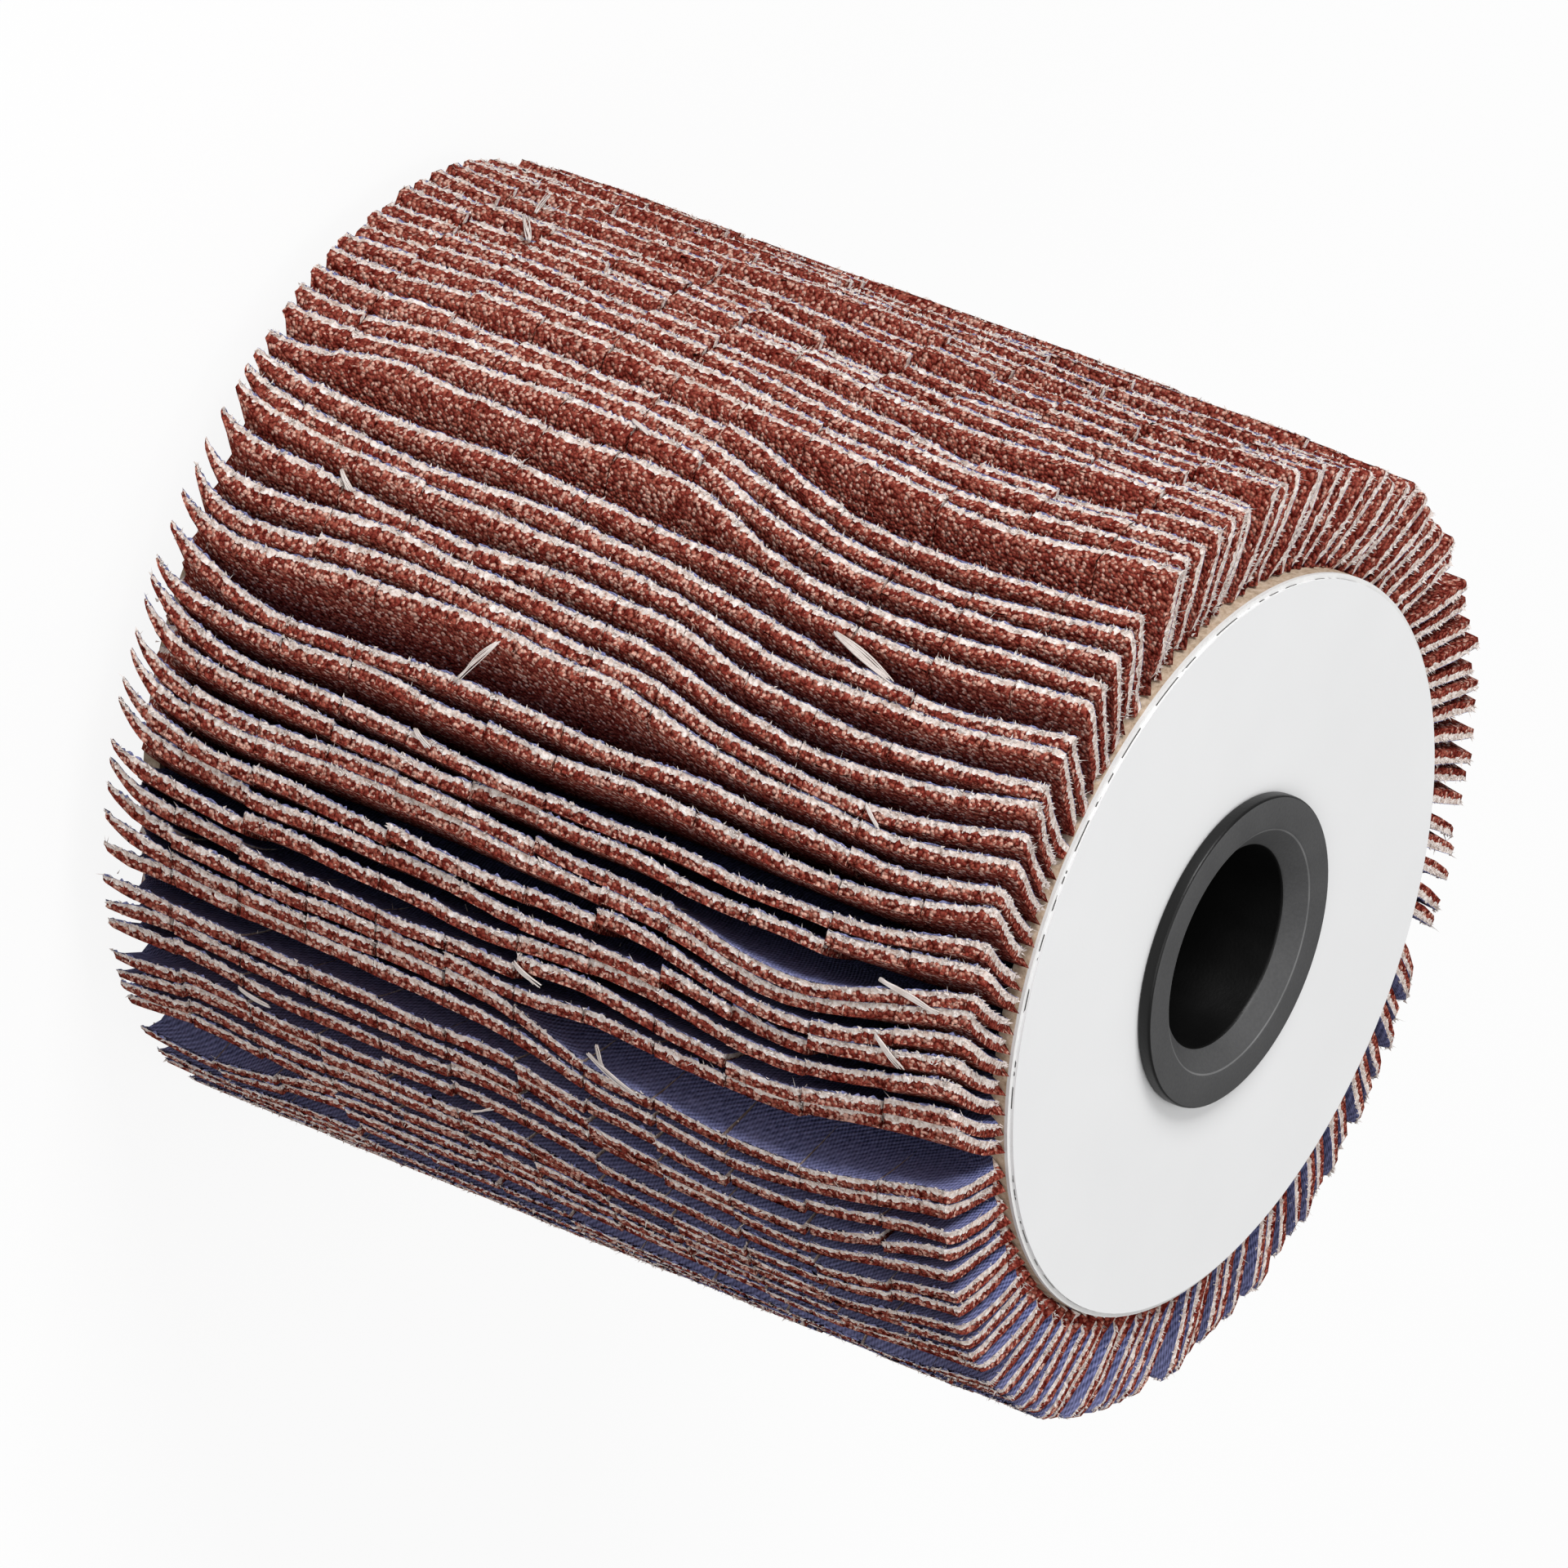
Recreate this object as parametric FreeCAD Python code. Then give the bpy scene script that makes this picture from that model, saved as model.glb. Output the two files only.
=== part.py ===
import FreeCAD, Part

import math
import os

# Flap wheel for a roller sander: a hundred or so abrasive-cloth flaps set on edge in a cast resin core,
# closed by two fibreboard end discs that the flanges of two pressed-in plastic bushes hold down.
# The wheel stands on its rear end: +Z runs along the arbor, from the rear bush to the labelled front face,
# and the origin is the middle of the rear bush's outer face. All sizes are in millimetres.

# Wheel
wheel_diameter = 60.0
flap_width = 60.0           # along the arbor
flap_count = 108
flaps_in_pack = 3

# Flap: coated cloth, with its grit on the side that faces the way the wheel turns
flap_thickness = 0.9
root_web = 0.1              # resin left between two neighbouring flap roots
root_depth = 2.2            # how deep the roots stand in the resin
root_stand = 0.3            # straight stretch above the resin before the flap bends
slit_stop = 3.8             # cloth left whole between the resin and the foot of the slits
blade_lean = 12.0           # degrees off the root's direction, between the resin and the foot of the slits

# Fingers: knife cuts from the rim part every flap into fingers. In each flap one cut has sprung open, and
# the others stay shut. The flaps have taken a wave: they lie over at the rear, stand almost straight near the
# front edge, and lie over again at the front.
finger_count = 12
slit_opening = 0.4                          # at the rim, where a slit has sprung open
slit_spring = 1.6                           # degrees by which the cloth beside it lifts to either side
open_slits = (0.33, 0.83, 0.17, 0.5, 0.83, 0.42, 0.25, 0.83, 0.5, 0.08)     # flaps take these places in turn
wave_places = (0.0, 0.5, 0.83, 1.0)         # places are shares of the width, from the rear edge to the front
wave_leans = (37.0, 32.0, 8.0, 29.0)        # degrees off the root's direction
wave_unevenness = 0.3                       # the wave is this much weaker on one side of the wheel
wave_heading = -75.0                        # degrees round the wheel where it is strongest
flutter_share = 0.35                        # of the free gap at the rim, used up by uneven spacing
flutter_turns = (13, 29)                    # bunches of flaps round the wheel

# Core, end discs and label
tube_wall = 1.4
disc_reach = 3.85           # the end discs cover the flap roots, this far past the resin
end_disc_thickness = 1.2
label_margin = 0.3          # edge of the disc left bare round the label
label_thickness = 0.2

# Bushes: a flanged sleeve from each end
bore_diameter = 12.7
bush_wall = 1.25
bush_fit = 0.02             # glue film between bush and core tube
disc_fit = 0.05             # clearance of the discs round the bushes
flange_overhang = 2.2       # beyond the sleeve
flange_thickness = 0.9
flange_bevel = 0.3
mouth_flare = 1.35          # how far the bore's mouth opens, measured along the radius
mouth_depth = 1.1
sleeve_length = 24.0        # inside the wheel

# Worked out from the sizes above
wheel_radius = wheel_diameter / 2
half_flap = flap_thickness / 2
flap_angle = 360.0 / flap_count
root_radius = flap_count * (flap_thickness + root_web) / (2 * math.pi)
resin_radius = root_radius + root_depth
slit_foot_radius = resin_radius + slit_stop
mean_lean = sum(wave_leans) / len(wave_leans)
sleeve_radius = bore_diameter / 2 + bush_wall
tube_bore_radius = sleeve_radius + bush_fit
tube_radius = tube_bore_radius + tube_wall
disc_hole_radius = sleeve_radius + disc_fit
disc_radius = resin_radius + disc_reach
label_radius = disc_radius - label_margin

rear_disc_z = flange_thickness
core_z = rear_disc_z + end_disc_thickness
front_disc_z = core_z + flap_width
label_z = front_disc_z + end_disc_thickness
front_flange_z = label_z + label_thickness
front_face_z = front_flange_z + flange_thickness


def ring(inner_radius, outer_radius, z, height):
    """A flat ring or tube round the arbor's axis."""
    foot = FreeCAD.Vector(0, 0, z)
    outer = Part.makeCylinder(outer_radius, height, foot)
    return outer.cut(Part.makeCylinder(inner_radius, height, foot))


def heading(lean):
    """The way a stretch of flap runs, in the flap's cross-section: 0 is along its root, outwards."""
    angle = math.radians(lean)
    return (math.cos(angle), -math.sin(angle))


def reach(point, direction, radius):
    """Where a line from a point meets a circle round the arbor's axis."""
    along = point[0] * direction[0] + point[1] * direction[1]
    inside = radius ** 2 - point[0] ** 2 - point[1] ** 2
    step = math.sqrt(along ** 2 + inside) - along
    return (point[0] + direction[0] * step, point[1] + direction[1] * step)


def beside(point, lean, distance):
    """The point moved square to a stretch of flap: plus is the grit side, minus the cloth side."""
    direction = heading(lean)
    return (point[0] - direction[1] * distance, point[1] + direction[0] * distance)


def bend_corner(point, lean_before, lean_after, distance):
    """Where the side of a bent flap turns, for a bend of its middle line."""
    half_turn = math.radians(lean_after - lean_before) / 2
    return beside(point, (lean_before + lean_after) / 2, distance / math.cos(half_turn))


# The two bends of every flap's middle line: just above the resin, and at the foot of the slits
first_bend = (resin_radius + root_stand, 0.0)
second_bend = reach(first_bend, heading(blade_lean), slit_foot_radius)


def fingertip(lean, side):
    """The corner of a fingertip on one side of the flap, ground to the wheel's rim."""
    return reach(beside(second_bend, lean, side), heading(lean), wheel_radius)


def cut_place(share):
    """The edge between two fingers that is nearest to a share of the width."""
    return round(share * finger_count) / finger_count


def wave_lean(number, place):
    """How far the fingers of a flap lie over at a place along the width, before they bunch or spring."""
    creases = [cut_place(share) for share in wave_places]
    k = next(n for n in range(1, len(creases)) if place <= creases[n])
    share = (place - creases[k - 1]) / (creases[k] - creases[k - 1])
    lean = wave_leans[k - 1] + share * (wave_leans[k] - wave_leans[k - 1])
    nearness = (1 + math.cos(math.radians(number * flap_angle - wave_heading))) / 2
    return mean_lean + (lean - mean_lean) * (1 - wave_unevenness * (1 - nearness))


def flutter(number):
    """Degrees by which a whole flap stands off its even place, so that the flaps bunch and part."""
    pitch = 2 * math.pi * wheel_radius / flap_count
    free_gap = max(0.0, pitch * math.cos(math.radians(max(wave_leans))) - flap_thickness)
    travel = 0.0
    for turns in flutter_turns:
        angle = 2 * math.pi * turns / flap_count
        travel += math.sin(angle * number) / angle
    travel *= flutter_share / len(flutter_turns) * free_gap
    return math.degrees(math.atan2(travel, wheel_radius - slit_foot_radius))


def flap_stretches(number):
    """The stretches of a flap's tip from crease to crease or to its open slit.

    Each has its two ends, at the foot of the slits and at the rim, and its lean at both ends.
    """
    slit = cut_place(open_slits[number % len(open_slits)])
    places = sorted({slit, *map(cut_place, wave_places)})
    stretches = []
    for start, end in zip(places, places[1:]):
        foot = [start * flap_width, end * flap_width]
        stretch = {"foot": foot, "tip": list(foot)}
        stretch["lean"] = [wave_lean(number, place) + flutter(number) for place in (start, end)]
        if start == slit:
            stretch["tip"][0] += slit_opening / 2
            stretch["lean"][0] += slit_spring
        if end == slit:
            stretch["tip"][1] -= slit_opening / 2
            stretch["lean"][1] -= slit_spring
        stretch["open"] = (start in (0, slit), end in (1, slit))
        stretches.append(stretch)
    return stretches


def flat_face(*corners):
    """One flat face through corners given as ((x, y), z)."""
    points = [FreeCAD.Vector(place[0], place[1], z) for place, z in corners]
    return Part.Face(Part.makePolygon(points + points[:1]))


def twisted_face(a, b, c, d):
    """A four-cornered stretch that may be twisted, as two flat faces."""
    return [flat_face(a, b, c), flat_face(a, c, d)]


def make_flap(number):
    """One flap: a straight root, a leaning blade, and a tip that follows the wave and has one slit open."""
    width = flap_width
    stretches = flap_stretches(number)
    sides = (-half_flap, half_flap)
    root = [(root_radius, side) for side in sides]
    first = [bend_corner(first_bend, 0.0, blade_lean, side) for side in sides]
    second = [bend_corner(second_bend, blade_lean, mean_lean, side) for side in sides]

    faces = [flat_face((root[0], 0), (root[1], 0), (root[1], width), (root[0], width))]
    for n in range(2):
        slit_feet = [(second[n], stretch["foot"][0]) for stretch in stretches]
        faces.append(flat_face((root[n], 0), (first[n], 0), (first[n], width), (root[n], width)))
        faces.append(flat_face((first[n], width), (first[n], 0), *slit_feet, (second[n], width)))

    for stretch in stretches:
        feet = stretch["foot"]
        ends = []
        for foot, tip, lean, is_open in zip(feet, stretch["tip"], stretch["lean"], stretch["open"]):
            cloth_tip, grit_tip = [fingertip(lean, side) for side in sides]
            ends.append([(cloth_tip, tip), (grit_tip, tip)])
            if foot in (0, width):
                faces.append(flat_face(
                    (root[0], foot), (first[0], foot), (second[0], foot), (cloth_tip, foot),
                    (grit_tip, foot), (second[1], foot), (first[1], foot), (root[1], foot)))
            elif is_open:
                cloth_foot, grit_foot = (second[0], foot), (second[1], foot)
                faces += twisted_face(cloth_foot, (cloth_tip, tip), (grit_tip, tip), grit_foot)
        low, high = ends
        faces += twisted_face(low[0], low[1], high[1], high[0])
        for n in range(2):
            faces += twisted_face((second[n], feet[0]), low[n], high[n], (second[n], feet[1]))

    skin = Part.Compound(faces)
    skin.sewShape()
    flap = Part.Solid(skin.Shells[0])
    if flap.Volume < 0:
        flap.reverse()
    flap.translate(FreeCAD.Vector(0, 0, core_z))
    flap.rotate(FreeCAD.Vector(0, 0, 0), FreeCAD.Vector(0, 0, 1), number * flap_angle)
    return flap


def make_flap_pack(pack):
    """Neighbouring flaps that share one node, each a solid of its own."""
    first = pack * flaps_in_pack
    last = min(first + flaps_in_pack, flap_count)
    return Part.Compound([make_flap(number) for number in range(first, last)])


def make_resin_core():
    """The cast ring round the core tube, with a slot for every flap's root."""
    slot = [
        (resin_radius, -half_flap),
        (root_radius, -half_flap),
        (root_radius, half_flap),
        (resin_radius, half_flap),
    ]
    outline = []
    for number in range(flap_count):
        turn = FreeCAD.Rotation(FreeCAD.Vector(0, 0, 1), number * flap_angle)
        outline += [turn.multVec(FreeCAD.Vector(x, y, core_z)) for x, y in slot]
    cast = Part.Face(Part.makePolygon(outline + outline[:1])).extrude(FreeCAD.Vector(0, 0, flap_width))
    return cast.cut(Part.makeCylinder(tube_radius, flap_width, FreeCAD.Vector(0, 0, core_z)))


def make_bush(face_z, inward):
    """A flanged sleeve whose outer face is at face_z, and which runs inward: 1 is up, -1 is down."""
    bore_radius = bore_diameter / 2
    flange_radius = sleeve_radius + flange_overhang
    length = flange_thickness + sleeve_length
    profile = [
        (flange_radius - flange_bevel, 0),
        (bore_radius + mouth_flare, 0),
        (bore_radius, mouth_depth),
        (bore_radius, length),
        (sleeve_radius, length),
        (sleeve_radius, flange_thickness),
        (flange_radius, flange_thickness),
        (flange_radius, flange_bevel),
    ]
    points = [FreeCAD.Vector(radius, 0, face_z + inward * depth) for radius, depth in profile]
    face = Part.Face(Part.makePolygon(points + points[:1]))
    return face.revolve(FreeCAD.Vector(0, 0, 0), FreeCAD.Vector(0, 0, 1), 360)


def build():
    """Every node of the wheel, by name."""
    nodes = {
        "core_tube": ring(tube_bore_radius, tube_radius, core_z, flap_width),
        "resin_core": make_resin_core(),
        "rear_end_disc": ring(disc_hole_radius, disc_radius, rear_disc_z, end_disc_thickness),
        "front_end_disc": ring(disc_hole_radius, disc_radius, front_disc_z, end_disc_thickness),
        "front_label": ring(disc_hole_radius, label_radius, label_z, label_thickness),
        "rear_bush": make_bush(0.0, 1),
        "front_bush": make_bush(front_face_z, -1),
    }
    for pack in range(math.ceil(flap_count / flaps_in_pack)):
        nodes["flap_pack_%02d" % (pack + 1)] = make_flap_pack(pack)
    return nodes


os.makedirs("parts", exist_ok=True)
for name, shape in build().items():
    shape.exportStep(os.path.join("parts", name + ".step"))
    print(name, len(shape.Solids), "solids", round(shape.Volume, 1), "mm3", shape.isValid())
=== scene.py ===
# %% [markdown]
# # A flap wheel, dressed
# The solid model of the wheel is loaded first and fixes every size and place. This lesson then gives each
# piece its real surface: a hundred or so flaps of abrasive cloth, slit into fingers and frayed at the rim,
# between two board discs and two black plastic bushes. Everything is in metres, in the solid model's frame:
# +Z runs along the arbor, from the rear bush, on which the wheel stands, to the front label.

import math

import bmesh
import bpy
import numpy as np
from mathutils import Matrix, Vector


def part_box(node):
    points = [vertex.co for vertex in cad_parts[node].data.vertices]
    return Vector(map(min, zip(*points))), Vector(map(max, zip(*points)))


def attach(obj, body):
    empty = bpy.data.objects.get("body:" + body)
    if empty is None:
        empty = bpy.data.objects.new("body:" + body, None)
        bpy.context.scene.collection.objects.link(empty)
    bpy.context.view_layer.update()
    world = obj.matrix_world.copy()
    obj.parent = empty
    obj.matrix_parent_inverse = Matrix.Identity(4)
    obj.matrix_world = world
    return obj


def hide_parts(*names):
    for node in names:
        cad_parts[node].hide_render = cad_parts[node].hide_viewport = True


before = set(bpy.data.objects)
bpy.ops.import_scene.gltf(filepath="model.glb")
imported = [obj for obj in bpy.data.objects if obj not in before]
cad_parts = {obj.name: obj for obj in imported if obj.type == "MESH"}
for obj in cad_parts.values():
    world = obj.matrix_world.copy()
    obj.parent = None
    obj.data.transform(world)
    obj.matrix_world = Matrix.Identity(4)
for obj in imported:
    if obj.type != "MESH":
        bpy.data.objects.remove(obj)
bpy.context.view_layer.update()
MM = 0.001

# %% [markdown]
# ## Sizes read from the solid model
# The pieces made here have to sit where the solids sit. Reading a piece's box gives its place without
# copying any number by hand, so a change to the solid model carries over.

# %% Sizes in millimetres
def box_mm(node):
    """The lowest and highest corner of a solid, in millimetres."""
    low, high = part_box(node)
    return low / MM, high / MM


flap_packs = sorted(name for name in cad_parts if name.startswith("flap_pack_"))
flaps_in_pack = 3
flap_count = flaps_in_pack * len(flap_packs)
rear_z = box_mm("resin_core")[0].z
front_z = box_mm("resin_core")[1].z
flap_width = front_z - rear_z
resin_radius = box_mm("resin_core")[1].x
wheel_radius = max(box_mm(name)[1].x for name in flap_packs)
disc_radius = box_mm("front_end_disc")[1].x
print("flaps:", flap_count, "wheel radius", round(wheel_radius, 2), "resin radius", round(resin_radius, 2))

# %% [markdown]
# ## Camera
# The photograph was taken with a long lens, so the wheel looks almost the same size at both ends. The camera
# stands level with the wheel's side and a little above its front face, and it is rolled so that the arbor
# runs down to the right. The rolled camera is easier to keep true than a wheel laid over, because the wheel
# then stays in the solid model's frame.

# %% Place the camera
camera_elevation = 28.0         # degrees above the plane square to the arbor
camera_roll = 110.8
camera_distance = 0.889
camera_lens = 339.0
camera_aside = (-0.34, -0.15)   # millimetres to the right and up, which centre the wheel in the picture

camera_data = bpy.data.cameras.new("camera")
camera_data.lens = camera_lens
camera_data.sensor_width = 36.0
camera_data.clip_end = 20.0
camera = bpy.data.objects.new("camera", camera_data)
bpy.context.scene.collection.objects.link(camera)
tilt = Matrix.Rotation(math.radians(90 - camera_elevation), 4, "X")
turn = tilt @ Matrix.Rotation(math.radians(camera_roll), 4, "Z")
look_from = turn @ Vector((camera_aside[0] * MM, camera_aside[1] * MM, camera_distance))
middle = Vector((0, 0, (rear_z + front_z) / 2 * MM))
camera.matrix_world = Matrix.Translation(middle + look_from) @ turn
bpy.context.scene.camera = camera
print("camera at", [round(v, 3) for v in camera.location])

# %% [markdown]
# ## Shader maths
# A material's pattern is a formula. Wrapping a socket in a small class lets the formula be written with plus,
# minus and times, and every step still becomes a Math node that can be read in the shader editor.

# %% A socket that can be added and multiplied
class Value:
    """One output of a material's nodes, used in plain arithmetic."""

    def __init__(self, finish, socket):
        self.finish = finish
        self.socket = socket

    def math(self, operation, first, second=None, clamp=False):
        settings = {"operation": operation, "use_clamp": clamp}
        given = [first] if second is None else [first, second]
        return self.finish.node("ShaderNodeMath", settings, dict(enumerate(given)))

    def __add__(self, other):
        return self.math("ADD", self, other)

    def __radd__(self, other):
        return self.math("ADD", other, self)

    def __sub__(self, other):
        return self.math("SUBTRACT", self, other)

    def __rsub__(self, other):
        return self.math("SUBTRACT", other, self)

    def __mul__(self, other):
        return self.math("MULTIPLY", self, other)

    def __rmul__(self, other):
        return self.math("MULTIPLY", other, self)

    def __truediv__(self, other):
        return self.math("DIVIDE", self, other)

    def __gt__(self, other):
        return self.math("GREATER_THAN", self, other)

    def __lt__(self, other):
        return self.math("LESS_THAN", self, other)

    def clamped(self):
        return self.math("ADD", self, 0.0, clamp=True)

    def sine(self):
        return self.math("SINE", self)


class Finish:
    """A material and the nodes that make it."""

    def __init__(self, name, **shader_values):
        self.material = bpy.data.materials.new(name)
        self.material.use_nodes = True
        self.tree = self.material.node_tree
        self.shader = self.tree.nodes["Principled BSDF"]
        for socket, value in shader_values.items():
            self.shader.inputs[socket.replace("_", " ")].default_value = value

    def node(self, kind, settings=None, values=None, output=0):
        """Adds a node, sets it up, fills its sockets by name or number, and gives one of its outputs."""
        made = self.tree.nodes.new(kind)
        for setting, value in (settings or {}).items():
            setattr(made, setting, value)
        for socket, value in (values or {}).items():
            if isinstance(value, Value):
                self.tree.links.new(value.socket, made.inputs[socket])
            else:
                made.inputs[socket].default_value = value
        return Value(self, made.outputs[output])

    def mix(self, share, first, second):
        """The first colour where share is 0, the second where it is 1."""
        values = {0: share, 6: first, 7: second}
        for number in (6, 7):
            if isinstance(values[number], tuple):
                values[number] = (*values[number], 1.0)
        return self.node("ShaderNodeMix", {"data_type": "RGBA"}, values, output=2)

    def ramp(self, share, stops):
        """A colour read off a ramp whose stops are (place, colour)."""
        made = self.tree.nodes.new("ShaderNodeValToRGB")
        while len(made.color_ramp.elements) < len(stops):
            made.color_ramp.elements.new(0.5)
        for element, (place, colour) in zip(made.color_ramp.elements, stops):
            element.position = place
            element.color = (*colour, 1.0)
        self.tree.links.new(share.socket, made.inputs[0])
        return Value(self, made.outputs[0])

    def place(self):
        """Where a point lies on the wheel, in millimetres."""
        spot = self.node("ShaderNodeTexCoord", output="Object")
        return self.node("ShaderNodeVectorMath", {"operation": "SCALE"}, {0: spot, "Scale": 1 / MM})

    def axis(self, vector, number):
        """One part of a vector: 0 is X, 1 is Y and 2 is Z."""
        return self.node("ShaderNodeSeparateXYZ", None, {0: vector}, output=number)

    def noise(self, place, per_mm, detail=2.0, roughness=0.5):
        values = {"Vector": place, "Scale": per_mm, "Detail": detail, "Roughness": roughness}
        return self.node("ShaderNodeTexNoise", None, values)

    def raised(self, height, distance):
        """Bumps the surface: height 1 stands up by the distance, in millimetres."""
        values = {"Height": height, "Distance": distance * MM, "Strength": 1.0}
        bump = self.node("ShaderNodeBump", None, values)
        self.feed("Normal", bump)

    def feed(self, socket, value):
        self.tree.links.new(value.socket, self.shader.inputs[socket])


# %% [markdown]
# ## Abrasive cloth
# The flaps are stamped from cloth that has brown aluminium oxide grit glued on one side. The other side shows
# the navy twill, and a cut edge shows both: pale undyed yarn, and beside it the grit layer in section. One
# material does all of it, because each point of the mesh knows how deep it lies in the cloth: 0 on the twill
# side and 1 on the grit side. A threshold on that depth, made uneven by noise, parts yarn from grit, so no
# seam in the mesh is needed.

# %% The cloth's finish
grit_per_mm = 4.6               # grains of about a fifth of a millimetre
grit_layer_from = 0.44          # share of the thickness at which the grit layer starts
rib_pitch = 0.36                # of the twill, in millimetres
flap_length = 12.8              # from root to rim
rim_lightening_length = 4.0               # cloth below the rim that is painted lighter, partly for wear and partly as painted light

cloth = Finish("abrasive_cloth", Specular_IOR_Level=0.0, Coat_Roughness=0.35)
spot = cloth.place()
depth = cloth.node("ShaderNodeAttribute", {"attribute_name": "depth"}, output="Fac")
sheet = cloth.node("ShaderNodeUVMap", {"uv_map": "cloth"})
across = cloth.axis(sheet, 0)
along = cloth.axis(sheet, 1)
fine_noise = cloth.noise(spot, 3.2)
broad_noise = cloth.noise(spot, 0.4, detail=3.0)
# 0 towards the root, rising to 1 at the rim: partly wear, and partly painted light that leaves the deeper cloth
# darker as painted shade
rim_wear_and_light = ((along - (flap_length - rim_lightening_length)) / rim_lightening_length).clamped()

grains = {"Vector": spot, "Scale": grit_per_mm}
grain = cloth.node("ShaderNodeTexVoronoi", {"feature": "F1"}, grains, "Distance")
grain_tint = cloth.node("ShaderNodeTexVoronoi", {"feature": "F1"}, grains, "Color")
tint = cloth.node("ShaderNodeSeparateColor", None, {"Color": grain_tint}, output=0)
# The grit is painted paler towards the rim, for wear and as painted light
pale_share = tint * (rim_wear_and_light * broad_noise * 0.45 + 1.0) + rim_wear_and_light * 0.06
grit_colour = cloth.ramp(pale_share, (
    (0.0, (0.110, 0.011, 0.008)),
    (0.42, (0.245, 0.045, 0.032)),
    (0.78, (0.330, 0.088, 0.060)),
    (0.92, (0.430, 0.160, 0.115)),
    (1.0, (0.640, 0.360, 0.285)),
))
grit_colour = cloth.mix((grain * 2.2 - 0.95).clamped(), grit_colour, (0.060, 0.005, 0.003))

rib = ((across + along) * (2 * math.pi / rib_pitch / math.sqrt(2))).sine() * 0.5 + 0.5
yarn = ((across - along * 0.35) * (2 * math.pi / rib_pitch * 1.7)).sine() * 0.5 + 0.5
weave = rib * 0.6 + yarn * 0.4
twill_shade = (weave * 0.8 + fine_noise * 1.2 - 0.5).clamped()
twill_colour = cloth.mix(twill_shade, (0.022, 0.028, 0.088), (0.235, 0.255, 0.500))
# The twill is painted greyer towards the rim, for wear and as painted light
twill_colour = cloth.mix(rim_wear_and_light * broad_noise * 0.7, twill_colour, (0.230, 0.230, 0.370))

yarn_colour = cloth.ramp(fine_noise, (
    (0.28, (0.300, 0.205, 0.170)),
    (0.42, (0.500, 0.400, 0.355)),
    (0.58, (0.660, 0.580, 0.535)),
    (0.72, (0.740, 0.700, 0.680)),
))
is_cut = depth > 0.04
at_front_end = across > (flap_width - 0.3)
uneven = cloth.noise(spot, 1.1) * 0.5 + fine_noise * 0.5 + at_front_end * 0.07
is_grit = depth > (uneven + (grit_layer_from - 0.5))
colour = cloth.mix(is_cut, twill_colour, yarn_colour)
colour = cloth.mix(is_grit, colour, grit_colour)
cloth.feed("Base Color", colour)
cloth.feed("Roughness", 0.95 - is_grit * 0.1)
cloth.feed("Coat Weight", is_grit * (tint > 0.85) * 0.25)
grit_height = (1.0 - grain * 1.6) * is_grit
weave_height = weave * (1.0 - is_cut) * 0.4
yarn_height = fine_noise * is_cut * (1.0 - is_grit) * 1.4
cloth.raised(grit_height + weave_height + yarn_height, 0.13)

# %% [markdown]
# ## Frayed yarn
# The knife leaves loose ends of the undyed yarn along every cut. They catch the light, so they are a little
# paler than the cut edge itself.

# %% The yarn's finish
fray = Finish("frayed_yarn", Specular_IOR_Level=0.1, Roughness=0.95)
fray_noise = fray.noise(fray.place(), 1.2)
fray.feed("Base Color", fray.mix(fray_noise, (0.42, 0.34, 0.30), (0.74, 0.70, 0.68)))

# %% [markdown]
# ## How the tips lie round the rim
# A flap stands in the resin by its root, leans over against the turning direction, and has taken a wave from
# the press that held the wheel together. One number says it all: the sweep, which is how far a tip lies over
# from its root, measured along the rim. It is kept in a table with a value for every flap and finger, at nine
# places across each finger. The wave and the fingers that have sprung are laid into it layer by layer, and
# so are the partings, where the flaps have opened like the pages of a book.

# %% The wave that all flaps share
flap_thickness = 0.86
finger_count = 12
places_in_finger = 9
flap_angle = 360.0 / flap_count
root_pitch = 1.0                # from one flap's root to the next
root_radius = flap_count * root_pitch / (2 * math.pi)
wave_places = (0.0, 12.0, 28.0, 40.0, 48.0, 54.0, 60.0)
wave_sweeps = (5.2, 5.3, 4.7, 3.1, 2.2, 2.8, 4.0)
mean_sweep = 4.0
even_side = 0.3                 # the wave is this much weaker on the side turned away
strong_heading = -15.0

finger_width = flap_width / finger_count
z = (np.arange(finger_count)[:, None] + np.linspace(0, 1, places_in_finger)[None, :]) * finger_width
numbers = np.arange(flap_count)[:, None, None]
# A heading is 0 on the side that faces the camera, and rises towards the upper side of the picture
root_heading = -90.0 - numbers * flap_angle
heading = (root_heading + math.degrees(5.0 / wheel_radius) + 180.0) % 360.0 - 180.0


def smooth_step(x):
    """0 up to 0, 1 from 1 on, and a smooth rise between."""
    x = np.clip(x, 0.0, 1.0)
    return x * x * (3 - 2 * x)


def around(heading, middle):
    """Degrees from one heading to another, the short way round."""
    return (heading - middle + 180.0) % 360.0 - 180.0


rounding = np.linspace(-3.5, 3.5, 5)
wave = np.mean([np.interp(z + shift, wave_places, wave_sweeps) for shift in rounding], axis=0)
nearness = (1 + np.cos(np.radians(around(heading, strong_heading)))) / 2
sweep = mean_sweep + (wave - mean_sweep) * (1 - even_side * (1 - nearness))
front_lift = np.interp(heading, (-180, -90, -50, -15, 20, 90, 180), (0, 0.5, 1.3, 0.8, -0.5, -0.2, 0))
sweep = sweep + front_lift * smooth_step((z - 49.0) / 12.0)
rear_turn = around(heading, -10.0)
rear_flick = 0.4 + 1.7 * smooth_step((rear_turn + 38) / 14) * smooth_step((38 - rear_turn) / 14)
seed = np.random.RandomState(11)
own = seed.uniform(0.6, 1.4, (flap_count, 1, 1))
sweep = sweep + rear_flick * own * np.exp(-z / 2.3)
print("sweep of the tips:", round(float(sweep.min()), 2), "to", round(float(sweep.max()), 2), "mm")

# %% [markdown]
# Partings are named by their heading, the stretch of the width that they cover, and how much farther apart
# than usual the tips stand there. The tips on either side move away by half of that, and their neighbours by
# less and less.

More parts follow.
